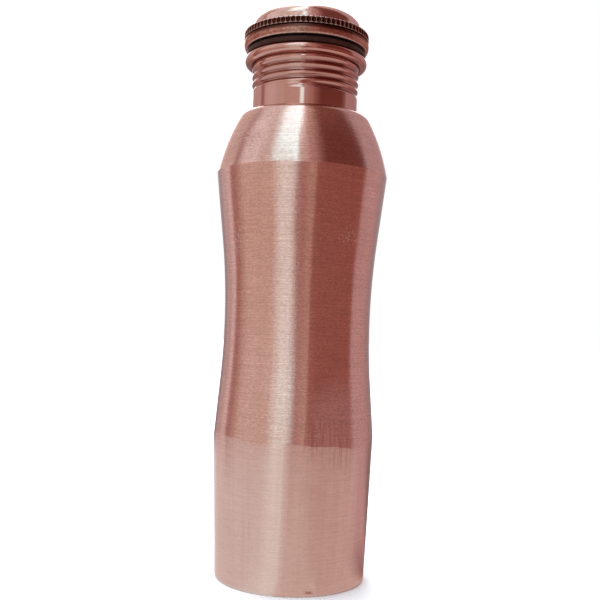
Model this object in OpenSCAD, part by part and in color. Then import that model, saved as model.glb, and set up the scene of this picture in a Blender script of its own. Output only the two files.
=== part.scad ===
// Copper water bottle with a waisted body, a rolled thread in its neck and a screw-in stopper cap.
// The bottle stands on z = 0 with its axis on +Z. All sizes are in millimetres.

/* [Body] */
// Thickness of the copper sheet
wall = 0.7; // [0.5:0.1:1.2]
// Radius of the foot, where the wall meets the table
foot_r = 34.8; // [33:0.1:36]
// Radius of the rounded edge under the foot
foot_edge_r = 1.5; // [1.3:0.1:3]
// Radius of the hole in the inward-turned foot flange
foot_hole_r = 30.5; // [20:0.5:32]
// Height of the lower crease, where the straight base ends
crease_h = 65.2; // [55:0.1:75]
// Radius at the lower crease
crease_r = 37.2; // [36.5:0.1:38]
// Height of the narrowest part of the waist
waist_h = 117.5; // [112:0.5:122]
// Radius at the waist
waist_r = 34.1; // [33.6:0.1:34.6]
// Radius of the waist's hollow curve, seen from the side
waist_curve_r = 330; // [260:5:400]
// Height of the shoulder crease, the widest place
shoulder_h = 187; // [184:0.5:190]
// Radius at the shoulder crease
shoulder_r = 40; // [39:0.1:41]
// Radius of the shoulder's bulging curve, seen from the side
shoulder_curve_r = 90; // [70:1:140]
// Height at which the shoulder starts to round over
round_h = 212.5; // [211:0.5:214]
// Radius at that height
round_r = 31.5; // [31:0.1:32.5]
// Height of the flat top that the neck stands on
top_h = 215.2; // [214.8:0.1:216]

/* [Base disc] */
// How far the base disc is domed up in its middle
disc_rise = 3; // [1:0.5:6]
// Radius of the base disc's curve, where it starts to rise
disc_flat_r = 31.5; // [31:0.1:32.5]

/* [Neck] */
// Outer radius of the plain neck
neck_r = 25; // [24.5:0.1:25.5]
// Width of the neck's flange, which is brazed under the flat top
neck_flange = 1.5; // [1:0.1:1.6]
// Radius of the rolled lip's round section
lip_section_r = 2.35; // [2.2:0.05:2.6]
// Height of the middle of the rolled lip
lip_h = 240.75; // [240:0.05:241]

/* [Thread] */
// Height gained in one turn
pitch = 3.55; // [3.3:0.05:3.8]
// Depth of the rolled groove
groove_depth = 1.1; // [0.8:0.05:1.2]
// How far the ridges near the lip swell past the plain neck
ridge_swell = 0.3; // [0:0.05:0.4]
// Height of the ridge that crosses the +X side
ridge_h = 231.1; // [230:0.05:232]
// Gap between the stopper's thread and the neck's
thread_gap = 0.35; // [0.3:0.05:0.5]
// Number of facets around the thread
thread_sides = 48; // [36:4:72]
// Number of facets up each turn of the thread
thread_rows = 6; // [5:1:8]

/* [Stopper] */
// Height of the stopper's lower end when it is closed
plug_bottom_h = 228.6; // [227:0.1:230]
// Radius of the plain nose under the stopper's thread
plug_nose_r = 22.5; // [22:0.1:22.6]
// Radius of the hollow inside the stopper
plug_hollow_r = 21.8; // [20:0.1:21.9]
// Thickness of the stopper's closed end
plug_end = 0.9; // [0.6:0.1:1.5]

/* [Gasket] */
// Height of the gasket's underside, just above the lip
gasket_h = 243.15; // [243.15:0.05:243.3]
// Thickness of the gasket
gasket_t = 3.2; // [3:0.05:3.25]
// Outer radius of the gasket
gasket_r = 28.1; // [27.5:0.1:28.5]
// Inner radius of the gasket
gasket_hole_r = 24.4; // [24.3:0.05:25]

/* [Cap] */
// Height of the flange's underside
flange_h = 246.4; // [246.4:0.05:246.6]
// Height of the flange's upper face
flange_top_h = 251; // [250.8:0.1:251.2]
// Radius of the flange at its fullest
flange_r = 29.6; // [29.3:0.1:30]
// Height of the flange's fullest place above its underside
flange_belly = 2.7; // [2.5:0.1:2.9]
// How far the flange's lower edge curls in
flange_curl = 1.3; // [1:0.1:1.6]
// Height of the knurled ring's upper face
ring_top_h = 254.1; // [253.8:0.1:254.4]
// Outer radius of the knurled ring
ring_r = 29.5; // [29.2:0.1:29.8]
// Number of flutes around the knurled ring
flutes = 79; // [60:1:90]
// Radius of each flute
flute_r = 0.85; // [0.7:0.05:0.95]
// Depth of each flute
flute_depth = 0.6; // [0.4:0.05:0.7]
// Radius of the dome
dome_r = 25.5; // [25:0.1:26]
// Height at which the dome starts to curve
dome_h = 257.3; // [256:0.1:258]
// Height of the top of the dome, and of the whole bottle
total_h = 266.7; // [265:0.1:268]

/* [Hidden] */
$fn = 96;

COPPER = [0.74, 0.43, 0.36];
BRIGHT_COPPER = [0.78, 0.46, 0.39];
AGED_COPPER = [0.42, 0.25, 0.21];
DARK_RUBBER = [0.16, 0.13, 0.13];

// The waist's curve and the two straight flares that leave it
waist_centre = [waist_r + waist_curve_r, waist_h];
WAIST_STEPS = 20;
// The shoulder's curve, from the crease to where it rounds over
shoulder_chord = norm([shoulder_r - round_r, round_h - shoulder_h]);
shoulder_lean = atan2(shoulder_r - round_r, round_h - shoulder_h);
shoulder_half = asin(shoulder_chord / 2 / shoulder_curve_r);
shoulder_a0 = shoulder_lean - shoulder_half;
shoulder_a1 = shoulder_lean + shoulder_half;
shoulder_centre = [shoulder_r, shoulder_h] - shoulder_curve_r * [cos(shoulder_a0), sin(shoulder_a0)];
SHOULDER_STEPS = 10;
// The round edge between the shoulder and the flat top
round_edge_r = (top_h - round_h) / (1 - sin(shoulder_a1));
round_centre = [round_r, round_h] - round_edge_r * [cos(shoulder_a1), sin(shoulder_a1)];
ROUND_STEPS = 8;

// The rolled lip's middle, its section tangent to the neck's bore
lip_r = neck_r - wall + lip_section_r;
// Where the neck's outside runs into the lip, as an angle below the horizontal of the lip's section
LIP_START = 125;
LIP_STEPS = 14;
// The groove starts and ends softly: these are turns counted from the +X side
GROOVE_START = [-2.35, -2.08];
GROOVE_END = [1.25, 1.55];
// The ridges swell between these heights
SWELL = [224, 232];
thread_low_h = 223;
thread_high_h = 239.5;
// Directions around the axis at which the threaded pieces are cut into facets
side_angles = [for (i = [0:thread_sides - 1]) 360 * i / thread_sides - 180];
// The stopper's thread runs out into its nose between these heights
plug_runout = [plug_bottom_h + 0.6, plug_bottom_h + 2.6];

// Points on a circular arc
function arc(c, r, a0, a1, steps) =
    [for (k = [0:steps]) let (a = a0 + (a1 - a0) * k / steps) c + r * [cos(a), sin(a)]];

// 0 below a, 1 above b, and a smooth rise between them
function ease(x, a, b) =
    let (t = min(1, max(0, (x - a) / (b - a)))) t * t * (3 - 2 * t);

// Direction of point p from the waist's centre, and the angle from there to its tangent point
function bearing(p) = atan2(p[1] - waist_h, waist_centre[0] - p[0]);
function touch(p, r) = acos(r / norm(p - waist_centre));

// The body's outline from the foot to the flat top, moved inwards by inset
function body_outline(inset) =
    let (
        low = [crease_r - inset, crease_h],
        shoulder = arc(shoulder_centre, shoulder_curve_r - inset, shoulder_a0, shoulder_a1, SHOULDER_STEPS),
        curve_r = waist_curve_r + inset,
        b0 = bearing(low) + touch(low, curve_r),
        b1 = bearing(shoulder[0]) - touch(shoulder[0], curve_r)
    )
    concat(
        arc([foot_r - foot_edge_r, foot_edge_r], foot_edge_r - inset, -90, 0, ROUND_STEPS),
        [low],
        arc(waist_centre, curve_r, 180 - b0, 180 - b1, WAIST_STEPS),
        shoulder,
        arc(round_centre, round_edge_r - inset, shoulder_a1, 90, ROUND_STEPS)
    );

function reversed(list) = [for (k = [len(list) - 1:-1:0]) list[k]];

// Depth of the rolled groove at angle a and height z, from 0 on a ridge to 1 in the groove
function groove(a, z) =
    let (
        phase = (z - ridge_h) / pitch - a / 360,
        turn = floor(phase) + a / 360,
        depth = (1 - cos(360 * phase)) / 2
    )
    depth * ease(turn, GROOVE_START[0], GROOVE_START[1]) * (1 - ease(turn, GROOVE_END[0], GROOVE_END[1]));

// Outer radius of the neck at angle a and height z
function neck_outer(a, z) =
    neck_r + ridge_swell * ease(z, SWELL[0], SWELL[1]) - groove_depth * groove(a, z);

// Outer radius of the stopper: it follows the neck's inner side, and its grooves go all the way down
function plug_outer(a, z) =
    let (
        phase = (z - ridge_h) / pitch - a / 360,
        crest = neck_r - wall - thread_gap,
        cut = groove_depth * (1 - cos(360 * phase)) / 2 * (1 - ease(z, thread_high_h - 2, thread_high_h))
    )
    plug_nose_r + (crest - cut - plug_nose_r) * ease(z, plug_runout[0], plug_runout[1]);

// Heights of the rows of facets between two heights
function rows(low, high) =
    let (n = ceil((high - low) * thread_rows / pitch)) [for (k = [0:n]) low + (high - low) * k / n];

// Faces that join rings of n points, each ring to the next one up
function bands(rings, n) =
    [for (j = [0:rings - 2], i = [0:n - 1], half = [0, 1])
        let (a = j * n + i, b = j * n + (i + 1) % n)
        half == 0 ? [a, a + n, b] : [b, a + n, b + n]];

// A closed ring-shaped solid from its section at each of side_angles
module swept(sections) {
    turns = len(sections);
    n = len(sections[0]);
    points = [for (i = [0:turns - 1], p = sections[i])
        [p[0] * cos(side_angles[i]), p[0] * sin(side_angles[i]), p[1]]];
    faces = [for (i = [0:turns - 1], j = [0:n - 1], half = [0, 1])
        let (
            a = i * n + j,
            b = i * n + (j + 1) % n,
            c = (i + 1) % turns * n + j,
            d = (i + 1) % turns * n + (j + 1) % n
        )
        half == 0 ? [a, b, c] : [b, d, c]];
    polyhedron(points = points, faces = faces);
}

module body_shell() {
    inner = reversed(body_outline(wall));
    color(COPPER)
        rotate_extrude()
            polygon(concat(
                [[foot_hole_r, 0]],
                body_outline(0),
                [[neck_r, top_h], [neck_r, top_h - wall]],
                inner,
                [[foot_hole_r, wall]]
            ));
}

// A slightly domed disc, brazed onto the foot flange from inside
module base_disc() {
    edge_r = foot_r - foot_edge_r;
    bow_r = (disc_flat_r * disc_flat_r + disc_rise * disc_rise) / (2 * disc_rise);
    bow_a = asin(disc_flat_r / bow_r);
    lower = arc([0, wall + disc_rise - bow_r], bow_r, 90, 90 - bow_a, ROUND_STEPS);
    upper = [for (p = reversed(lower)) p + [0, wall]];
    color(COPPER)
        rotate_extrude()
            polygon(concat(lower, [[edge_r, wall], [edge_r, 2 * wall]], upper));
}

// A tube with a flange at its foot, the rolled thread up its side and the rolled lip at its mouth
module threaded_neck() {
    bottom_h = top_h - 2 * wall;
    heights = rows(thread_low_h, lip_h - lip_section_r * sin(LIP_START));
    lip = arc([lip_r, lip_h], lip_section_r, -LIP_START, 180, LIP_STEPS);
    color(BRIGHT_COPPER)
        swept([for (a = side_angles)
            concat(
                [[neck_r - wall, bottom_h], [neck_r + neck_flange, bottom_h]],
                [[neck_r + neck_flange, top_h - wall], [neck_r, top_h - wall]],
                [for (z = heights) [neck_outer(a, z), z]],
                lip,
                [for (z = reversed(heights)) [neck_outer(a, z) - wall, z]]
            )
        ]);
}

module gasket() {
    color(DARK_RUBBER)
        translate([0, 0, gasket_h])
            difference() {
                cylinder(r = gasket_r, h = gasket_t);
                translate([0, 0, -1])
                    cylinder(r = gasket_hole_r, h = gasket_t + 2);
            }
}

// A drawn cup whose side carries the male thread
module threaded_plug() {
    heights = concat(rows(plug_bottom_h, thread_high_h), [flange_h]);
    count = len(heights);
    points = [for (z = heights, a = side_angles) let (r = plug_outer(a, z)) [r * cos(a), r * sin(a), z]];
    bottom = [for (i = [0:thread_sides - 1]) i];
    top = [for (i = [thread_sides - 1:-1:0]) (count - 1) * thread_sides + i];
    color(BRIGHT_COPPER)
        difference() {
            polyhedron(points = points, faces = concat(bands(count, thread_sides), [bottom, top]));
            translate([0, 0, plug_bottom_h + plug_end])
                cylinder(r = plug_hollow_r, h = flange_h - plug_bottom_h);
        }
}

// A shallow pan with a bulging rim, which carries the stopper, the ring and the dome
module cap_flange() {
    belly_h = flange_h + flange_belly;
    upper_r = flange_top_h - belly_h;
    outline = concat(
        [[flange_r - flange_curl, flange_h]],
        [for (a = [-75:15:0]) [flange_r - flange_curl * (1 - cos(a)), belly_h + flange_belly * sin(a)]],
        [for (a = [15:15:90]) [flange_r - flange_curl * (1 - cos(a)), belly_h + upper_r * sin(a)]]
    );
    hollow = [for (p = outline) [p[0] - wall, min(max(p[1], flange_h + wall), flange_top_h - wall)]];
    color(AGED_COPPER)
        rotate_extrude()
            difference() {
                polygon(concat([[0, flange_h]], outline, [[0, flange_top_h]]));
                polygon(concat([[dome_r, flange_h + wall]], hollow, [[dome_r, flange_top_h - wall]]));
                translate([-1, flange_h + wall])
                    square([dome_r + 1, flange_top_h]);
            }
}

module knurled_ring() {
    color(AGED_COPPER)
        translate([0, 0, flange_top_h])
            linear_extrude(height = ring_top_h - flange_top_h)
                difference() {
                    circle(r = ring_r);
                    circle(r = dome_r);
                    for (k = [0:flutes - 1])
                        rotate(360 * k / flutes)
                            translate([ring_r + flute_r - flute_depth, 0])
                                circle(r = flute_r, $fn = 16);
                }
}

module cap_dome() {
    rise = total_h - dome_h;
    steps = 16;
    outer = [for (k = [0:steps]) [dome_r * cos(90 * k / steps), dome_h + rise * sin(90 * k / steps)]];
    inner_r = dome_r - wall;
    inner_rise = rise - wall;
    inner = [for (k = [steps:-1:0]) [inner_r * cos(90 * k / steps), dome_h + inner_rise * sin(90 * k / steps)]];
    skirt_h = flange_h + wall;
    color(COPPER)
        rotate_extrude()
            polygon(concat([[dome_r, skirt_h]], outer, inner, [[inner_r, skirt_h]]));
}

body_shell();
base_disc();
threaded_neck();
gasket();
threaded_plug();
cap_flange();
knurled_ring();
cap_dome();
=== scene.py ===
import math

import bmesh
import bpy
import numpy as np
from mathutils import Matrix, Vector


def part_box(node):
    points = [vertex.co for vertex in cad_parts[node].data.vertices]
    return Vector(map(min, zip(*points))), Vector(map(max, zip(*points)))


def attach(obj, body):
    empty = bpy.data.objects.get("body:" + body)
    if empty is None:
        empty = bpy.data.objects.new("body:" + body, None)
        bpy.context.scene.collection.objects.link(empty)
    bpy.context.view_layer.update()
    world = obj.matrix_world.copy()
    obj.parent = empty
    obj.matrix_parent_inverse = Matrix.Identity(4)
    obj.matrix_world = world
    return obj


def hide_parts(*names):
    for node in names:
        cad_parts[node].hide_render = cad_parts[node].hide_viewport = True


# The looks of the copper water bottle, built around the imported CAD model.
# Outlines are lists of (radius, height) in millimetres around the bottle's axis, which is Z.
# Angles are in degrees, counted from +X; the front of the bottle faces -Y.

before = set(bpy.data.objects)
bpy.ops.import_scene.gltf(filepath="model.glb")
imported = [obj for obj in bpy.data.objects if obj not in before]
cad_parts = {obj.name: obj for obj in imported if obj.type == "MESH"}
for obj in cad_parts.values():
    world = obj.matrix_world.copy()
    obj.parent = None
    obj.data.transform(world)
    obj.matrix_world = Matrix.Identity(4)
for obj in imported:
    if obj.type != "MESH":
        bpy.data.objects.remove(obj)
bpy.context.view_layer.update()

MM = 1000.0


def radius_of(node):
    """Largest radius of a CAD node, in millimetres."""
    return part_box(node)[1][0] * MM


def heights_of(node):
    """Lowest and highest point of a CAD node, in millimetres."""
    low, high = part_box(node)
    return low[2] * MM, high[2] * MM


# ---------------------------------------------------------------- sizes, in millimetres

WALL = 0.7

# The body's outline, as in the CAD model
FOOT_R = 34.8
FOOT_EDGE_R = 1.5
FOOT_HOLE_R = 30.5
CREASE = (37.2, 65.2)
CREASE_ROUND = 5.0
WAIST = (34.1, 117.5)
WAIST_CURVE_R = 330.0
SHOULDER_H = 187.0
SHOULDER_CURVE_R = 90.0
SHOULDER_ROUND = 1.6
ROUND_START = (31.5, 212.5)
SHOULDER_R = radius_of("body_shell")
TOP_H = heights_of("body_shell")[1]
BASE_DISC_R = radius_of("base_disc")
BASE_DISC_FLAT_R = 31.5
BASE_DISC_RISE = 3.0

# The neck, its lip and its thread
NECK_R = 25.0
NECK_FLANGE = 1.5
LIP_SECTION_R = 2.35
LIP_R = radius_of("threaded_neck") - LIP_SECTION_R
LIP_H = heights_of("threaded_neck")[1] - LIP_SECTION_R
LIP_START = 125.0
LIP_FOOT_H = LIP_H - LIP_SECTION_R * math.sin(math.radians(LIP_START))
PITCH = 3.55
RIDGE_H = 231.1
RIDGE_SWELL = 0.3
GROOVE_DEPTH = 1.1
GROOVE_START = (-2.35, -2.08)
GROOVE_END = (1.25, 1.55)
SWELL = (224.0, 232.0)
THREAD_LOW = 222.5
THREAD_GAP = 0.35

# The stopper and the cap
PLUG_LOW, PLUG_HIGH = heights_of("threaded_plug")
PLUG_NOSE_R = 22.5
PLUG_NOSE_EDGE_R = 0.8
PLUG_HOLLOW_R = 21.8
PLUG_END = 0.9
PLUG_RUNOUT = (PLUG_LOW + 0.6, PLUG_LOW + 2.6)
GASKET_R = radius_of("gasket")
GASKET_HOLE_R = 24.4
GASKET_LOW, GASKET_HIGH = heights_of("gasket")
GASKET_EDGE_R = 0.6
GASKET_NECK_R = GASKET_R - 1.6
FLANGE_R = radius_of("cap_flange")
FLANGE_LOW, FLANGE_HIGH = heights_of("cap_flange")
FLANGE_BELLY = 2.7
FLANGE_CURL = 1.3
RING_R = radius_of("knurled_ring")
RING_LOW, RING_HIGH = heights_of("knurled_ring")
RING_MIDDLE = (RING_LOW + RING_HIGH) / 2
RING_CHAMFER = 0.35
FLUTES = 79
FLUTE_R = 1.15
FLUTE_DEPTH = 0.7
FLUTE_STRAIGHT = 0.25
DOME_R = radius_of("cap_dome")
DOME_LOW, DOME_HIGH = heights_of("cap_dome")
DOME_START = 257.3


# ---------------------------------------------------------------- outlines

def arc(centre, radius, start, end, steps):
    """Points on a circular arc, from angle start to angle end."""
    angles = np.radians(np.linspace(start, end, steps + 1))
    return [(centre[0] + radius * math.cos(a), centre[1] + radius * math.sin(a)) for a in angles]


def straight(p, q, steps):
    """Points from p to q, both included."""
    return [tuple(point) for point in np.linspace(p, q, steps + 1)]


def rounded(before, corner, after, radius, steps=8):
    """Points of an arc that rounds the corner between two straight lines."""
    corner = np.array(corner)
    a = np.array(before) - corner
    b = np.array(after) - corner
    a /= np.linalg.norm(a)
    b /= np.linalg.norm(b)
    half = math.acos(float(np.clip(a @ b, -1, 1))) / 2
    reach = radius / math.tan(half)
    start, end = corner + a * reach, corner + b * reach
    middle = (a + b) / np.linalg.norm(a + b)
    centre = corner + middle * radius / math.sin(half)
    out = []
    for t in np.linspace(0, 1, steps + 1):
        p = start * (1 - t) + end * t - centre
        out.append(tuple(centre + p * radius / np.linalg.norm(p)))
    return out


def ease(x, low, high):
    """0 below low, 1 above high, and a smooth rise between them."""
    t = np.clip((x - low) / (high - low), 0, 1)
    return t * t * (3 - 2 * t)


def body_side(inset):
    """The body's outline from the foot to the flat top, moved inwards by inset."""
    chord = math.hypot(SHOULDER_R - ROUND_START[0], ROUND_START[1] - SHOULDER_H)
    lean = math.degrees(math.atan2(SHOULDER_R - ROUND_START[0], ROUND_START[1] - SHOULDER_H))
    half = math.degrees(math.asin(chord / 2 / SHOULDER_CURVE_R))
    first, last = lean - half, lean + half
    centre = (
        SHOULDER_R - SHOULDER_CURVE_R * math.cos(math.radians(first)),
        SHOULDER_H - SHOULDER_CURVE_R * math.sin(math.radians(first)),
    )
    shoulder = arc(centre, SHOULDER_CURVE_R - inset, first, last, 26)
    round_r = (TOP_H - ROUND_START[1]) / (1 - math.sin(math.radians(last)))
    round_centre = (
        ROUND_START[0] - round_r * math.cos(math.radians(last)),
        ROUND_START[1] - round_r * math.sin(math.radians(last)),
    )
    waist_centre = (WAIST[0] + WAIST_CURVE_R, WAIST[1])
    curve_r = WAIST_CURVE_R + inset

    def touching(point, side):
        """Angle on the waist's curve at which a straight line from the point leaves it."""
        away = math.dist(point, waist_centre)
        bearing = math.degrees(math.atan2(point[1] - waist_centre[1], waist_centre[0] - point[0]))
        return 180 - (bearing + side * math.degrees(math.acos(curve_r / away)))

    crease = (CREASE[0] - inset, CREASE[1])
    waist = arc(waist_centre, curve_r, touching(crease, 1), touching(shoulder[0], -1), 60)
    foot = arc((FOOT_R - FOOT_EDGE_R, FOOT_EDGE_R), FOOT_EDGE_R - inset, -90, 0, 10)
    low_round = rounded(foot[-1], crease, waist[0], CREASE_ROUND)
    top_round = rounded(waist[-1], shoulder[0], shoulder[2], SHOULDER_ROUND)
    edge = arc(round_centre, round_r - inset, last, 90, 14)
    return (
        foot
        + straight(foot[-1], low_round[0], 40)[1:-1]
        + low_round
        + straight(low_round[-1], waist[0], 12)[1:-1]
        + waist
        + straight(waist[-1], top_round[0], 14)[1:-1]
        + top_round
        + shoulder[2:]
        + edge[1:]
    )


# ---------------------------------------------------------------- pieces

def smooth(obj, sharp=50):
    """Smooth shading, with edges sharper than an angle kept crisp."""
    obj.data.shade_smooth()
    obj.data.set_sharp_from_angle(angle=math.radians(sharp))


def turned(name, outline, turns=384, shape=None, lift=None, open_ended=False):
    """A piece turned around the axis. shape(r, z, angle) gives each point's radius, if it varies,
    and lift(r, z, angle) its height.

    A closed outline makes a ring-shaped solid. An open-ended one starts and ends on the axis.
    """
    points = np.array(outline, dtype=float)
    count = len(points)
    angles = np.linspace(-math.pi, math.pi, turns, endpoint=False)[:, None]
    r = np.repeat(points[None, :, 0], turns, axis=0)
    z = np.repeat(points[None, :, 1], turns, axis=0)
    around = np.degrees(angles) + np.zeros_like(r)
    if shape is not None:
        r = shape(r, z, around)
    if lift is not None:
        z = lift(r, z, around)
    verts = np.stack([r * np.cos(angles), r * np.sin(angles), z], axis=-1).reshape(-1, 3) / MM
    last = count - 1 if open_ended else count
    i, j = np.meshgrid(np.arange(turns), np.arange(last), indexing="ij")
    following, above = (i + 1) % turns, (j + 1) % count
    faces = np.stack([i * count + j, following * count + j, following * count + above, i * count + above], -1)
    mesh = bpy.data.meshes.new(name)
    mesh.from_pydata(verts.tolist(), [], faces.reshape(-1, 4).tolist())
    work = bmesh.new()
    work.from_mesh(mesh)
    bmesh.ops.remove_doubles(work, verts=work.verts, dist=1e-7)
    bmesh.ops.recalc_face_normals(work, faces=work.faces)
    work.to_mesh(mesh)
    work.free()
    obj = bpy.data.objects.new(name, mesh)
    bpy.context.scene.collection.objects.link(obj)
    smooth(obj)
    return obj


def waver(z, angle):
    """How far hand work left the body's sheet from a true circle, in millimetres."""
    a = np.radians(angle)
    return (
        0.035 * np.sin(3 * a + z / 23 + 0.4)
        + 0.022 * np.sin(5 * a - z / 17 + 1.9)
        + 0.012 * np.sin(9 * a + z / 9)
        + 0.010 * np.sin(14 * a - z / 13 + 2.2)
    )


def thread_depth(z, angle):
    """Depth of the rolled groove, from 0 on a ridge to 1 in the groove, without its ends."""
    phase = (z - RIDGE_H) / PITCH - angle / 360
    return ((1 - np.cos(2 * math.pi * phase)) / 2) ** 0.8


def neck_shape(r, z, angle):
    """The neck's radius with its rolled groove and its swelling ridges."""
    turn = np.floor((z - RIDGE_H) / PITCH - angle / 360) + angle / 360
    present = ease(turn, *GROOVE_START) * (1 - ease(turn, *GROOVE_END))
    below_lip = 1 - ease(z, LIP_H - 2.9, LIP_H - 1.95)
    groove = GROOVE_DEPTH * thread_depth(z, angle) * present * below_lip
    on_neck = r < NECK_R + 0.5
    return r + on_neck * (RIDGE_SWELL * ease(z, *SWELL) * (z < LIP_H - 1.8) - groove)


def plug_shape(r, z, angle):
    """The stopper's radius: it follows the inside of the neck, and runs out into its nose."""
    cut = GROOVE_DEPTH * thread_depth(z, angle) * (1 - ease(z, LIP_H - 3.2, LIP_H - 1.2))
    crest = NECK_R - WALL - THREAD_GAP
    outside = r > PLUG_HOLLOW_R + 0.4
    threaded = PLUG_NOSE_R + (crest - cut - PLUG_NOSE_R) * ease(z, *PLUG_RUNOUT)
    return np.where(outside, threaded, r)


def ring_shape(r, z, angle):
    """The knurled ring's radius, with its flutes, whose ends are round like a ball cutter's."""
    pitch = 2 * math.pi * RING_R / FLUTES
    across = (angle / 360 * FLUTES % 1 - 0.5) * pitch
    past_end = np.maximum(np.abs(z - RING_MIDDLE) - FLUTE_STRAIGHT, 0)
    hollow = np.sqrt(np.maximum(FLUTE_R ** 2 - across ** 2 - past_end ** 2, 0)) - (FLUTE_R - FLUTE_DEPTH)
    floor_r = RING_R - np.maximum(hollow, 0)
    return np.where(r > DOME_R + 1, np.minimum(r, floor_r), r)


def make_body():
    """The body: one sheet from the flange under the foot up to the neck."""
    outer = body_side(0)
    inner = body_side(WALL)
    outline = (
        [(FOOT_HOLE_R, 0)]
        + outer
        + straight(outer[-1], (NECK_R, TOP_H), 2)[1:]
        + [(NECK_R, TOP_H - WALL)]
        + inner[::-1]
        + [(FOOT_HOLE_R, WALL)]
    )

    def shape(r, z, angle):
        calm = ease(z, 1, 12) * (1 - ease(z, TOP_H - 6, TOP_H - 1))
        return r + calm * waver(z, angle)

    def lift(r, z, angle):
        """The lower crease was burnished by hand, and wanders up and down a little."""
        a = np.radians(angle + 90)
        near = ease(z, CREASE[1] - 24, CREASE[1]) * (1 - ease(z, CREASE[1], CREASE[1] + 26))
        wander = 1.1 * np.sin(2 * a + 3.5) + 0.7 * np.sin(5 * a + 0.6) + 0.35 * np.sin(11 * a + 2.0)
        return z + near * wander

    return turned("body_shell_skin", outline, turns=512, shape=shape, lift=lift)


def make_base_disc():
    """The bottom plate, domed up into the bottle."""
    bow_r = (BASE_DISC_FLAT_R ** 2 + BASE_DISC_RISE ** 2) / (2 * BASE_DISC_RISE)
    bow = math.degrees(math.asin(BASE_DISC_FLAT_R / bow_r))
    centre = (0, WALL + BASE_DISC_RISE - bow_r)
    lower = arc(centre, bow_r, 90, 90 - bow, 16)
    upper = [(r, z + WALL) for r, z in lower[::-1]]
    outline = lower + [(BASE_DISC_R, WALL), (BASE_DISC_R, 2 * WALL)] + upper
    return turned("base_disc_plate", outline, turns=192, open_ended=True)


def make_neck():
    """The neck tube, with its flange, its rolled thread and its rolled lip."""
    bottom = TOP_H - 2 * WALL
    plain = straight((NECK_R, TOP_H - WALL), (NECK_R, THREAD_LOW), 8)
    threaded = straight((NECK_R, THREAD_LOW), (NECK_R, LIP_FOOT_H), 110)[1:]
    side = plain + threaded
    inside = [(r - WALL, z) for r, z in side[::-1]]
    outline = (
        [(NECK_R - WALL, bottom), (NECK_R + NECK_FLANGE, bottom), (NECK_R + NECK_FLANGE, TOP_H - WALL)]
        + side
        + arc((LIP_R, LIP_H), LIP_SECTION_R, -LIP_START, 180, 40)
        + inside
    )
    return turned("threaded_neck_tube", outline, shape=neck_shape)


def make_gasket():
    """The sealing ring: round at its lower edge, and drawn in under the flange at its upper one."""
    edge, low, high = GASKET_EDGE_R, GASKET_LOW, GASKET_HIGH
    outline = (
        arc((GASKET_R - edge, low + edge), edge, -90, 0, 8)
        + arc((GASKET_R - edge, high - 1.3), edge, 0, 80, 8)
        + [(GASKET_NECK_R + 0.1, high - 0.6), (GASKET_NECK_R, high)]
        + [(GASKET_HOLE_R, high), (GASKET_HOLE_R, low)]
    )
    return turned("gasket_ring", outline, turns=256)


def make_plug():
    """The stopper: a cup with a closed lower end and a rolled thread."""
    edge = PLUG_NOSE_EDGE_R
    side = straight((NECK_R - WALL, PLUG_LOW), (NECK_R - WALL, PLUG_HIGH), 130)
    outline = (
        [(0, PLUG_LOW), (PLUG_NOSE_R - 1.5 * edge, PLUG_LOW)]
        + arc((PLUG_NOSE_R - edge, PLUG_LOW + edge), edge, -80, -10, 5)
        + side[4:]
        + [(PLUG_HOLLOW_R, PLUG_HIGH), (PLUG_HOLLOW_R, PLUG_LOW + PLUG_END), (0, PLUG_LOW + PLUG_END)]
    )

    def shape(r, z, angle):
        return np.where(r > NECK_R - WALL - 0.01, plug_shape(r, z, angle), r)

    return turned("threaded_plug_cup", outline, shape=shape, open_ended=True)


def make_flange():
    """The pan under the cap, with a bulging rim."""
    belly = FLANGE_LOW + FLANGE_BELLY
    rim = []
    for a in np.radians(np.linspace(-90, 90, 33)):
        reach = FLANGE_BELLY if a < 0 else FLANGE_HIGH - belly
        rim.append((FLANGE_R - FLANGE_CURL * (1 - math.cos(a)), belly + reach * math.sin(a)))
    inner = [(r - WALL, min(max(z, FLANGE_LOW + WALL), FLANGE_HIGH - WALL)) for r, z in rim[::-1]]
    outline = (
        [(0, FLANGE_LOW)]
        + rim
        + [(DOME_R, FLANGE_HIGH), (DOME_R, FLANGE_HIGH - WALL)]
        + inner
        + [(0, FLANGE_LOW + WALL)]
    )
    return turned("cap_flange_rim", outline, open_ended=True)


def make_ring():
    """The knurled ring around the cap."""
    chamfer = RING_CHAMFER
    flutes_r = RING_R - 1.2
    outline = (
        [(DOME_R, RING_LOW), (flutes_r, RING_LOW), (RING_R - chamfer, RING_LOW)]
        + straight((RING_R, RING_LOW + chamfer), (RING_R, RING_HIGH - chamfer), 22)
        + [(RING_R - chamfer, RING_HIGH), (flutes_r, RING_HIGH), (DOME_R, RING_HIGH)]
    )
    return turned("knurled_ring_edge", outline, turns=FLUTES * 18, shape=ring_shape)


def make_dome():
    """The domed top of the cap, which is hollow."""
    steps = 48
    rise = DOME_HIGH - DOME_START
    outer, inner = [], []
    for a in np.radians(np.linspace(0, 90, steps + 1)):
        outer.append((DOME_R * math.cos(a), DOME_START + rise * math.sin(a)))
        inner.append(((DOME_R - WALL) * math.cos(a), DOME_START + (rise - WALL) * math.sin(a)))
    outline = inner[::-1] + [(DOME_R - WALL, DOME_LOW), (DOME_R, DOME_LOW)] + outer
    return turned("cap_dome_shell", outline, open_ended=True)


# ---------------------------------------------------------------- materials

def add(tree, kind, inputs=None, **settings):
    """Adds a shader node, with settings and with values or links on its inputs."""
    node = tree.nodes.new(kind)
    for key, value in settings.items():
        setattr(node, key, value)
    for key, value in (inputs or {}).items():
        if isinstance(value, bpy.types.NodeSocket):
            tree.links.new(value, node.inputs[key])
        else:
            node.inputs[key].default_value = value
    return node


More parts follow.
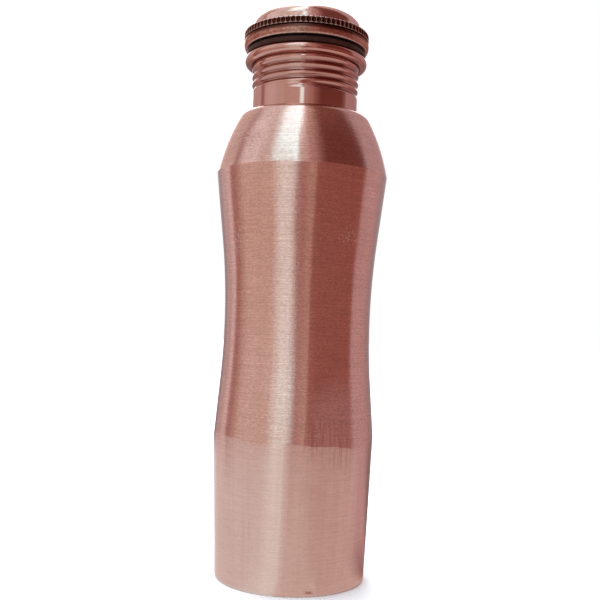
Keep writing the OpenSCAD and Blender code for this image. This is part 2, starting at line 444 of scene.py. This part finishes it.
def new_material(name):
    """A material with one Principled shader, with the tree and the shader to work on."""
    material = bpy.data.materials.new(name)
    material.use_nodes = True
    tree = material.node_tree
    tree.nodes.clear()
    shader = add(tree, "ShaderNodeBsdfPrincipled")
    output = add(tree, "ShaderNodeOutputMaterial")
    tree.links.new(shader.outputs[0], output.inputs[0])
    return material, tree, shader


def stretched_noise(tree, scale, detail, low=0.0, high=1.0, source=(0.3, 0.7)):
    """Noise in object space with its own scale along X, Y and Z, in repeats per metre."""
    where = add(tree, "ShaderNodeTexCoord").outputs["Object"]
    mapped = add(tree, "ShaderNodeMapping", {"Vector": where, "Scale": scale}).outputs[0]
    noise = add(tree, "ShaderNodeTexNoise", {
        "Vector": mapped, "Scale": 1.0, "Detail": detail, "Roughness": 0.6,
    })
    return add(tree, "ShaderNodeMapRange", {
        "Value": noise.outputs[0],
        "From Min": source[0], "From Max": source[1],
        "To Min": low, "To Max": high,
    }).outputs[0]


def mixed(tree, factor, a, b, blend="MIX"):
    """A colour mix of a and b."""
    node = add(tree, "ShaderNodeMix", data_type="RGBA", blend_type=blend)
    for index, value in ((0, factor), (6, a), (7, b)):
        if isinstance(value, bpy.types.NodeSocket):
            tree.links.new(value, node.inputs[index])
        else:
            node.inputs[index].default_value = value
    return node.outputs[2]


def total(tree, a, b, operation="ADD"):
    """Arithmetic on two values."""
    node = add(tree, "ShaderNodeMath", operation=operation)
    for index, value in ((0, a), (1, b)):
        if isinstance(value, bpy.types.NodeSocket):
            tree.links.new(value, node.inputs[index])
        else:
            node.inputs[index].default_value = value
    return node.outputs[0]


def times(tree, a, b):
    """The product of two values."""
    return total(tree, a, b, "MULTIPLY")


def apart(tree, a, b):
    """How far two values are from each other."""
    return total(tree, total(tree, a, b, "SUBTRACT"), 0.0, "ABSOLUTE")


def ramped(tree, value, low, high, interpolation="LINEAR"):
    """0 where value is low, 1 where it is high, and no further than that. Low may be above high."""
    return add(tree, "ShaderNodeMapRange", {
        "Value": value, "From Min": low, "From Max": high,
    }, interpolation_type=interpolation).outputs[0]


def between(tree, value, low, high):
    """Like ramped, with low and high in millimetres."""
    return ramped(tree, value, low / MM, high / MM)


def height(tree):
    """The height of each point of a piece."""
    where = add(tree, "ShaderNodeTexCoord").outputs["Object"]
    return add(tree, "ShaderNodeSeparateXYZ", {"Vector": where}).outputs[2]


def axis_distance(tree):
    """The distance of each point of a piece from the bottle's axis."""
    where = add(tree, "ShaderNodeTexCoord").outputs["Object"]
    flat = add(tree, "ShaderNodeVectorMath", {0: where, 1: (1, 1, 0)}, operation="MULTIPLY").outputs[0]
    return add(tree, "ShaderNodeVectorMath", {0: flat}, operation="LENGTH").outputs["Value"]


def overlay(tree, shader, mask, colour, blend="MIX"):
    """Lays a colour over the shader's own, where the mask is 1."""
    base = shader.inputs["Base Color"].links[0].from_socket
    tree.links.new(mixed(tree, mask, base, (*colour, 1), blend), shader.inputs["Base Color"])


def brush_marks(tree, shader, strength, around=700, upward=1700):
    """Darkens and lightens the shader's colour along strokes around the axis."""
    strokes = stretched_noise(tree, (around, around, upward), 2)
    gain = total(tree, times(tree, total(tree, strokes, -0.5), strength), 1.0)
    base = shader.inputs["Base Color"].links[0].from_socket
    tree.links.new(mixed(tree, 1.0, base, gain, "MULTIPLY"), shader.inputs["Base Color"])


# The tint of a grazing reflection in clean copper and in browned copper
COPPER_GLARE = (1.0, 0.86, 0.83, 1)
BROWNED_GLARE = (1.0, 0.68, 0.60, 1)


def copper(name, colour, worn_colour, roughness, stretch, relief):
    """Copper brushed around the axis. Relief is the depth of its marks, in millimetres."""
    material, tree, shader = new_material(name)
    strokes = stretched_noise(tree, (150, 150, 1500), 3)
    lines = stretched_noise(tree, (30, 30, 2600), 2)
    streaks = stretched_noise(tree, (330, 330, 9), 3)
    blotches = stretched_noise(tree, (38, 38, 30), 4)
    brushed_look = total(tree, times(tree, strokes, 0.5), times(tree, lines, 0.5))
    wiped_look = total(tree, times(tree, blotches, 0.5), times(tree, streaks, 0.5))
    wear = total(tree, times(tree, brushed_look, 0.5), times(tree, wiped_look, 0.5))
    shader.inputs["Metallic"].default_value = 1.0
    shader.inputs["Specular Tint"].default_value = COPPER_GLARE
    shader.inputs["Anisotropic"].default_value = stretch
    shader.inputs["Anisotropic Rotation"].default_value = 0.25
    tangent = add(tree, "ShaderNodeTangent", direction_type="RADIAL", axis="Z").outputs[0]
    tree.links.new(tangent, shader.inputs["Tangent"])
    tree.links.new(mixed(tree, wear, (*colour, 1), (*worn_colour, 1)), shader.inputs["Base Color"])
    rough = add(tree, "ShaderNodeMapRange", {
        "Value": wear,
        "To Min": 0.85 * roughness, "To Max": 1.15 * roughness,
    }).outputs[0]
    tree.links.new(rough, shader.inputs["Roughness"])
    depth = total(tree, times(tree, strokes, 0.5 * relief), times(tree, streaks, relief))
    bump = add(tree, "ShaderNodeBump", {"Strength": 1.0, "Distance": 1 / MM, "Height": depth})
    tree.links.new(bump.outputs[0], shader.inputs["Normal"])
    return material, tree, shader


def dent(tree, shader, height_map):
    """Adds a height map, in millimetres, to what the surface's bump already has."""
    bump = shader.inputs["Normal"].links[0].from_node
    so_far = bump.inputs["Height"].links[0].from_socket
    tree.links.new(total(tree, so_far, height_map), bump.inputs["Height"])


def near_point(tree, angle, radius, level, reach):
    """1 at a point on the surface, given by its angle from the front, and 0 beyond its reach."""
    a = math.radians(angle)
    point = (radius * math.sin(a) / MM, -radius * math.cos(a) / MM, level / MM)
    where = add(tree, "ShaderNodeTexCoord").outputs["Object"]
    away = add(tree, "ShaderNodeVectorMath", {0: where, 1: point}, operation="DISTANCE").outputs["Value"]
    return between(tree, away, reach, 0.4 * reach)


# Marks of use on the body, with angles from the front, where more is to the right.
# Scuffs: (angle, radius, height, reach, depth)
SCUFFS = [
    (-38, 37, 199, 5, 0.2),
    (-36, 37.5, 192, 4, 0.16),
    (-49, 37, 155, 8, 0.11),
    (36, 36.5, 156, 7, 0.06),
]
# A knock in the foot: (angle, radius, height, reach)
FOOT_KNOCK = (15, 34.5, 3.6, 3.0)
FOOT_KNOCK_DEPTH = 0.45
# A dull bloom of oxide above the lower crease: (angle, radius, height, reach)
BLOOM = (37, CREASE[0], 72, 25)
BLOOM_STRENGTH = 0.17
# Darker runs over the lower crease: (angle, height, reach, strength)
RUNS = [(12, 70, 12, 0.3), (24, 68, 13, 0.45), (33, 62, 9, 0.5)]
RUN_COLOUR = (0.50, 0.21, 0.12)


def body_copper():
    """The body's copper, with the knocks, scuffs and oxide bloom of use, and darker runs over the lower
    crease.
    """
    material, tree, shader = copper(
        "brushed_copper", (0.71, 0.46, 0.395), (0.59, 0.34, 0.28), 0.18, 0.93, 0.013)
    above_crease = between(tree, height(tree), CREASE[1] - 6, CREASE[1] + 4)
    brush_marks(tree, shader, total(tree, times(tree, above_crease, 0.20), 0.09))
    brush_marks(tree, shader, total(tree, times(tree, above_crease, 0.16), 0.05), 60, 2300)
    columns = stretched_noise(tree, (420, 420, 6), 3)
    overlay(tree, shader, times(tree, columns, 0.16), (0.80, 0.74, 0.72), "MULTIPLY")
    flecks = stretched_noise(tree, (900, 900, 650), 2, source=(0.57, 0.62))
    for angle, radius, level, reach, depth in SCUFFS:
        patch = near_point(tree, angle, radius, level, reach)
        dent(tree, shader, times(tree, flecks, times(tree, patch, -depth)))
    dent(tree, shader, times(tree, near_point(tree, *FOOT_KNOCK), -FOOT_KNOCK_DEPTH))
    dulled = times(tree, near_point(tree, *BLOOM), -BLOOM_STRENGTH)
    tree.links.new(total(tree, dulled, 1.0), shader.inputs["Metallic"])
    # Darker, streaky runs over the lower crease.
    run_streaks = stretched_noise(tree, (800, 800, 12), 2, source=(0.50, 0.62))
    for angle, level, reach, strength in RUNS:
        patch = near_point(tree, angle, CREASE[0], level, reach)
        overlay(tree, shader, times(tree, times(tree, patch, strength), run_streaks), RUN_COLOUR)
    return material


def cap_copper():
    """Finely brushed copper, a little smoother than the body's."""
    material, tree, shader = copper(
        "dome_copper", (0.70, 0.45, 0.385), (0.60, 0.35, 0.29), 0.18, 0.5, 0.008)
    brush_marks(tree, shader, 0.3)
    return material


def neck_copper():
    """Polished copper, darkened in the bottom of the thread by tarnish and painted shade, with a painted
    shadow in the corner under the lip.
    """
    material, tree, shader = copper(
        "polished_copper", (0.57, 0.30, 0.25), (0.48, 0.235, 0.19), 0.11, 0.4, 0.005)
    # Darker in the bottom of the thread: partly tarnish, partly painted shade in the groove.
    deep = between(tree, axis_distance(tree), NECK_R - 0.1, NECK_R - 0.7)
    low = between(tree, height(tree), THREAD_LOW, THREAD_LOW + 0.5)
    overlay(tree, shader, times(tree, deep, times(tree, low, 0.45)), (0.13, 0.035, 0.025))
    # A painted shadow in the corner under the lip.
    corner = between(tree, apart(tree, height(tree), LIP_FOOT_H / MM), 0.45, 0.15)
    inner = between(tree, axis_distance(tree), NECK_R + 1.2, NECK_R + 0.7)
    overlay(tree, shader, times(tree, corner, inner), (0.06, 0.004, 0.002))
    return material


def flange_copper():
    """Browned copper, with painted shade under the knurled ring and a painted highlight along its lower edge.
    """
    material, tree, shader = copper(
        "browned_copper", (0.60, 0.31, 0.24), (0.30, 0.12, 0.085), 0.32, 0.5, 0.02)
    shader.inputs["Specular Tint"].default_value = BROWNED_GLARE
    z = height(tree)
    brush_marks(tree, shader, 0.9)
    speckle = stretched_noise(tree, (1100, 1100, 1100), 3)
    overlay(tree, shader, times(tree, speckle, 0.5), (0.20, 0.07, 0.045))
    # Painted shade under the knurled ring.
    shade_under_ring = between(tree, z, FLANGE_HIGH - 2.5, FLANGE_HIGH - 1.5)
    overlay(tree, shader, shade_under_ring, (0.09, 0.028, 0.02))
    # A painted highlight along the lower curl of the rim.
    lower_highlight = between(tree, z, FLANGE_LOW + 0.6, FLANGE_LOW + 0.2)
    overlay(tree, shader, times(tree, lower_highlight, 0.6), (0.74, 0.48, 0.41))
    return material


def ring_copper():
    """Browned copper: black in the flutes, with painted highlights along both edges."""
    material, tree, shader = copper(
        "knurled_copper", (0.40, 0.17, 0.125), (0.17, 0.062, 0.04), 0.26, 0.2, 0.015)
    shader.inputs["Specular Tint"].default_value = BROWNED_GLARE
    z = height(tree)
    brush_marks(tree, shader, 0.9)
    edge = (RING_HIGH - RING_LOW) / 2
    # Painted highlights along both edges, with a brighter one along the upper edge.
    edges = between(tree, apart(tree, z, RING_MIDDLE / MM), edge - 0.35, edge - 0.1)
    overlay(tree, shader, edges, (0.92, 0.68, 0.59))
    top_highlight = between(tree, z, RING_HIGH - 0.4, RING_HIGH - 0.25)
    overlay(tree, shader, top_highlight, (1.0, 0.92, 0.88))
    in_flutes = between(tree, axis_distance(tree), RING_R - 0.05, RING_R - 0.3)
    overlay(tree, shader, in_flutes, (0.04, 0.012, 0.009))
    return material


def rubber(name):
    """Dark brown rubber, slightly dusty, with a painted black shadow where it goes in under the flange."""
    material, tree, shader = new_material(name)
    dust = stretched_noise(tree, (220, 220, 220), 4)
    colour = mixed(tree, dust, (0.030, 0.007, 0.005, 1), (0.055, 0.016, 0.011, 1))
    tree.links.new(colour, shader.inputs["Base Color"])
    # A painted shadow where the gasket goes in under the flange.
    shadow_under_flange = between(tree, height(tree), GASKET_HIGH - 1.2, GASKET_HIGH - 0.8)
    overlay(tree, shader, shadow_under_flange, (0.002, 0.001, 0.001))
    shader.inputs["Roughness"].default_value = 0.55
    shader.inputs["Specular IOR Level"].default_value = 0.15
    grain = stretched_noise(tree, (2600, 2600, 2600), 2)
    bump = add(tree, "ShaderNodeBump", {"Strength": 0.3, "Distance": 0.05 / MM, "Height": grain})
    tree.links.new(bump.outputs[0], shader.inputs["Normal"])
    return material


# ---------------------------------------------------------------- assembly

def place(piece, node, body, material):
    """Gives a piece its material, puts it on its body and hides the CAD node that it stands in for."""
    piece.data.materials.clear()
    piece.data.materials.append(material)
    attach(piece, body)
    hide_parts(node)


brushed = body_copper()
dome_copper = cap_copper()
neck_metal = neck_copper()
dark_rubber = rubber("gasket_rubber")

place(make_body(), "body_shell", "bottle", brushed)
place(make_base_disc(), "base_disc", "bottle", brushed)
place(make_neck(), "threaded_neck", "bottle", neck_metal)
place(make_gasket(), "gasket", "seal", dark_rubber)
place(make_plug(), "threaded_plug", "cap", neck_metal)
place(make_flange(), "cap_flange", "cap", flange_copper())
place(make_ring(), "knurled_ring", "cap", ring_copper())
place(make_dome(), "cap_dome", "cap", dome_copper)


# ---------------------------------------------------------------- camera

# Where the camera stands, in millimetres, and how it is turned, in degrees
CAMERA_BACK = 410.8
CAMERA_HEIGHT = 116.1
CAMERA_PITCH = 1.74
CAMERA_YAW = 0.14
CAMERA_ROLL = 1.95
LENS = 52.19
SENSOR = 36


def make_camera():
    """The camera in front of the bottle, tilted and rolled a little."""
    pitch, yaw, roll = (math.radians(a) for a in (CAMERA_PITCH, CAMERA_YAW, CAMERA_ROLL))
    forward = np.array([math.sin(yaw) * math.cos(pitch), math.cos(yaw) * math.cos(pitch), math.sin(pitch)])
    level = np.array([math.cos(yaw), -math.sin(yaw), 0.0])
    upright = np.cross(level, forward)
    right = math.cos(roll) * level + math.sin(roll) * upright
    up = -math.sin(roll) * level + math.cos(roll) * upright
    matrix = Matrix.Identity(4)
    for row in range(3):
        matrix[row][0], matrix[row][1], matrix[row][2] = right[row], up[row], -forward[row]
    matrix.translation = (0, -CAMERA_BACK / MM, CAMERA_HEIGHT / MM)
    data = bpy.data.cameras.new("camera")
    data.sensor_width = SENSOR
    data.lens = LENS
    data.clip_start = 0.01
    camera = bpy.data.objects.new("camera", data)
    camera.matrix_world = matrix
    bpy.context.scene.collection.objects.link(camera)
    bpy.context.scene.camera = camera


# ---------------------------------------------------------------- surroundings

# Radii of the table and the floor, and their height, in metres
TABLE_R = 0.42
FLOOR_R = 6.0
FLOOR_Z = -0.0002

# A guessed room around the bottle at eye level, as plain bands that blend into the next one:
# (from azimuth, to azimuth, colour), with azimuth 0 behind the camera and 90 to the right
EYE_LEVEL = [
    (-180, -150, (0.45, 0.45, 0.50)),  # dim wall behind
    (-142, -132, (0.70, 0.70, 0.75)),  # open door
    (-120, -115, (0.95, 0.95, 1.00)),  # lit door frame
    (-111, -104, (0.55, 0.35, 0.35)),  # dark side of the frame
    (-85, -40, (0.85, 0.80, 0.75)),    # pale wall
    (-26, -13, (1.15, 1.55, 1.65)),    # window
    (-4, 3, (0.55, 0.35, 0.35)),       # window frame
    (12, 17, (0.65, 0.50, 0.45)),      # strip of wall
    (20, 90, (0.42, 0.18, 0.16)),      # brown room
    (96, 125, (0.70, 0.55, 0.60)),     # side light
    (145, 180, (0.45, 0.45, 0.50)),    # dim wall behind
]
# Further down the room is darker and browner
LOW_TINT = (0.80, 0.62, 0.58)
# How much the uprights of the room close in with height
LEANING = 0.2

# The same room higher up, with a second window behind
ABOVE = [
    (-180, -160, (4.00, 4.50, 5.00)),  # window behind
    (-150, -112, (0.80, 0.75, 0.75)),  # wall
    (-106, -102, (0.50, 0.35, 0.35)),  # door frame
    (-94, -70, (1.00, 1.05, 1.15)),    # pale wall
    (-60, -50, (0.85, 0.85, 0.85)),    # curtain
    (-40, -9, (1.40, 2.30, 2.60)),     # window
    (-5, 4, (0.80, 0.70, 0.70)),       # window frame
    (12, 16, (0.60, 0.40, 0.40)),      # strip of wall
    (35, 95, (0.20, 0.07, 0.06)),      # brown room
    (102, 160, (0.60, 0.50, 0.55)),    # side light
    (175, 180, (4.00, 4.50, 5.00)),    # window behind
]
# The ceiling, lit by both windows
OVERHEAD = [
    (-180, -150, (3.00, 3.50, 4.00)),
    (-125, -60, (1.00, 1.05, 1.10)),
    (-43, -4, (2.10, 2.80, 3.20)),
    (6, 12, (0.80, 0.65, 0.60)),
    (35, 100, (0.30, 0.13, 0.11)),
    (125, 160, (0.80, 0.75, 0.75)),
    (175, 180, (3.00, 3.50, 4.00)),
]
# Where each of these starts and is reached, as the sine of the angle above eye level
LOW_TO_EYE_LEVEL = (-0.22, 0.12)
EYE_LEVEL_TO_ABOVE = (0.12, 0.32)
ABOVE_TO_OVERHEAD = (0.72, 0.96)

# A bar across the window, and a slit of clear sky beside it: (from azimuth, to azimuth, soft edge),
# colour, and the sines at which each starts, is complete, begins to end and has ended
BAR = (-46, -10, 3)
BAR_COLOUR = (0.84, 0.74, 0.71)
BAR_HEIGHTS = (0.17, 0.22, 0.42, 0.50)
SLIT = (-9, -3, 2)
SLIT_COLOUR = (1.5, 2.6, 2.9)
SLIT_HEIGHTS = (0.16, 0.20, 0.38, 0.46)

# The glow that the table gives off where the copper sees it: a painted reflection, in bands like those of
# EYE_LEVEL
TABLE = [
    (-180, -175, (0.45, 0.45, 0.50)),
    (-150, -50, (0.90, 1.00, 1.05)),
    (-24, -14, (1.00, 1.20, 1.25)),
    (-8, 18, (0.85, 0.85, 0.85)),
    (30, 88, (0.80, 0.75, 0.75)),
    (108, 120, (0.70, 0.55, 0.60)),
    (140, 150, (0.30, 0.25, 0.25)),
    (175, 180, (0.45, 0.45, 0.50)),
]
# A painted shadow in the table's glow beside the bottle: (from azimuth, to azimuth, soft edge), colour,
# and the distances from the axis at which it fades out and is complete, in millimetres
SHADE = (98, 190, 26)
SHADE_COLOUR = (0.36, 0.24, 0.235)
SHADE_REACH = (110, 38)


def colour_ramp(tree, factor, bands):
    """Bands of colour around the bottle, for an azimuth as turn_from_front gives it."""
    stops = [(edge, colour) for start, end, colour in bands for edge in (start, end)]
    ramp = add(tree, "ShaderNodeValToRGB", {"Fac": factor})
    elements = ramp.color_ramp.elements
    for index, (azimuth, colour) in enumerate(stops):
        spot = (azimuth + 180) / 360
        if index < 2:
            element = elements[index]
            element.position = spot
        else:
            element = elements.new(spot)
        element.color = (*colour, 1)
    return ramp.outputs[0]


def turn_from_front(tree, direction):
    """The azimuth of a direction as 0 to 1, with 0.5 at the front and more to the right."""
    parts = add(tree, "ShaderNodeSeparateXYZ", {"Vector": direction}).outputs
    back = times(tree, parts[1], -1.0)
    azimuth = total(tree, parts[0], back, "ARCTAN2")
    return add(tree, "ShaderNodeMapRange", {
        "Value": azimuth, "From Min": -math.pi, "From Max": math.pi,
    }).outputs[0]


def band(tree, spot, left, right, soft):
    """1 between two azimuths, 0 outside them, with soft edges."""
    middle, half = (left + right) / 720 + 0.5, (right - left) / 720
    return ramped(tree, apart(tree, spot, middle), half + soft / 360, half)


def rise_and_fall(tree, value, steps):
    """0 up to the first step, 1 between the second and third, and 0 again after the fourth."""
    up = ramped(tree, value, steps[0], steps[1])
    down = ramped(tree, value, steps[3], steps[2])
    return times(tree, up, down)


def make_floor():
    """A pale table under the bottle, which glows with a painted reflection and a painted shadow where the
    copper sees it, and a floor further out that isn't seen in the copper.
    """
    material, tree, shader = new_material("pale_floor")
    grain = stretched_noise(tree, (60, 60, 60), 3)
    pale = mixed(tree, grain, (0.93, 0.93, 0.94, 1), (0.96, 0.96, 0.97, 1))
    tree.links.new(pale, shader.inputs["Base Color"])
    shader.inputs["Roughness"].default_value = 0.9
    shader.inputs["Specular IOR Level"].default_value = 0.0
    on_table = add(tree, "ShaderNodeTexCoord").outputs["Object"]
    spot = turn_from_front(tree, on_table)
    # A painted shadow in the table's glow beside the bottle.
    near = between(tree, axis_distance(tree), *SHADE_REACH)
    beside = times(tree, band(tree, spot, *SHADE), near)
    reflected = mixed(tree, beside, colour_ramp(tree, spot, TABLE), (*SHADE_COLOUR, 1))
    # The table glows for every ray but the camera's: a painted reflection for the copper, in place of the lit
    # table.
    glow = add(tree, "ShaderNodeEmission", {"Color": reflected})
    on_camera = add(tree, "ShaderNodeLightPath").outputs["Is Camera Ray"]
    both = add(tree, "ShaderNodeMixShader", {0: on_camera, 1: glow.outputs[0], 2: shader.outputs[0]})
    output = next(node for node in tree.nodes if node.type == "OUTPUT_MATERIAL")
    tree.links.new(both.outputs[0], output.inputs[0])
    for name, inner, outer in (("table_top", 0.0, TABLE_R), ("far_floor", TABLE_R, FLOOR_R)):
        mesh = bpy.data.meshes.new(name)
        turns = 96
        verts, faces = [], []
        for radius in (inner, outer):
            for k in range(turns):
                a = 2 * math.pi * k / turns
                verts.append((radius * math.cos(a), radius * math.sin(a), FLOOR_Z))
        for k in range(turns):
            n = (k + 1) % turns
            faces.append((k, turns + k, turns + n, n) if inner else (turns + k, turns + n, k))
        mesh.from_pydata(verts, [], faces)
        floor = bpy.data.objects.new(name, mesh)
        floor.data.materials.append(material)
        bpy.context.scene.collection.objects.link(floor)
        floor.visible_glossy = name == "table_top"


def make_world():
    """The room, which the copper reflects. The camera sees plain white instead."""
    world = bpy.data.worlds.new("studio")
    bpy.context.scene.world = world
    world.use_nodes = True
    tree = world.node_tree
    tree.nodes.clear()
    direction = add(tree, "ShaderNodeTexCoord").outputs["Generated"]
    spot = turn_from_front(tree, direction)
    upward = add(tree, "ShaderNodeSeparateXYZ", {"Vector": direction}).outputs[2]
    leaning = total(tree, times(tree, upward, LEANING), 1.0)
    leaned = total(tree, times(tree, total(tree, spot, -0.5), leaning), 0.5)
    lit = ramped(tree, upward, *LOW_TO_EYE_LEVEL)
    tint = mixed(tree, lit, (*LOW_TINT, 1), (1, 1, 1, 1))
    around = mixed(tree, 1.0, colour_ramp(tree, leaned, EYE_LEVEL), tint, "MULTIPLY")
    for heights, bands in ((EYE_LEVEL_TO_ABOVE, ABOVE), (ABOVE_TO_OVERHEAD, OVERHEAD)):
        reached = ramped(tree, upward, *heights, "SMOOTHSTEP")
        around = mixed(tree, reached, around, colour_ramp(tree, spot, bands))
    for place_around, heights, colour in (
            (BAR, BAR_HEIGHTS, BAR_COLOUR), (SLIT, SLIT_HEIGHTS, SLIT_COLOUR)):
        mask = times(tree, band(tree, spot, *place_around), rise_and_fall(tree, upward, heights))
        around = mixed(tree, mask, around, (*colour, 1))
    on_camera = add(tree, "ShaderNodeLightPath").outputs["Is Camera Ray"]
    seen = mixed(tree, on_camera, around, (1.0, 1.0, 1.0, 1))
    background = add(tree, "ShaderNodeBackground", {"Color": seen, "Strength": 1.0})
    output = add(tree, "ShaderNodeOutputWorld")
    tree.links.new(background.outputs[0], output.inputs[0])


# The light from above: its strength, how wide it is and how it is turned, in degrees
SUN_ENERGY = 3.1
SUN_WIDTH = 70
SUN_TILT = (-20, -12, 0)


def make_lights():
    """A broad soft light from above, which lights the table and isn't seen in the copper."""
    data = bpy.data.lights.new("overhead", "SUN")
    data.angle = math.radians(SUN_WIDTH)
    data.energy = SUN_ENERGY
    lamp = bpy.data.objects.new("overhead", data)
    lamp.rotation_euler = [math.radians(turn) for turn in SUN_TILT]
    lamp.visible_glossy = False
    bpy.context.scene.collection.objects.link(lamp)


make_camera()
make_floor()
make_world()
make_lights()
bpy.context.scene.view_settings.view_transform = "Standard"
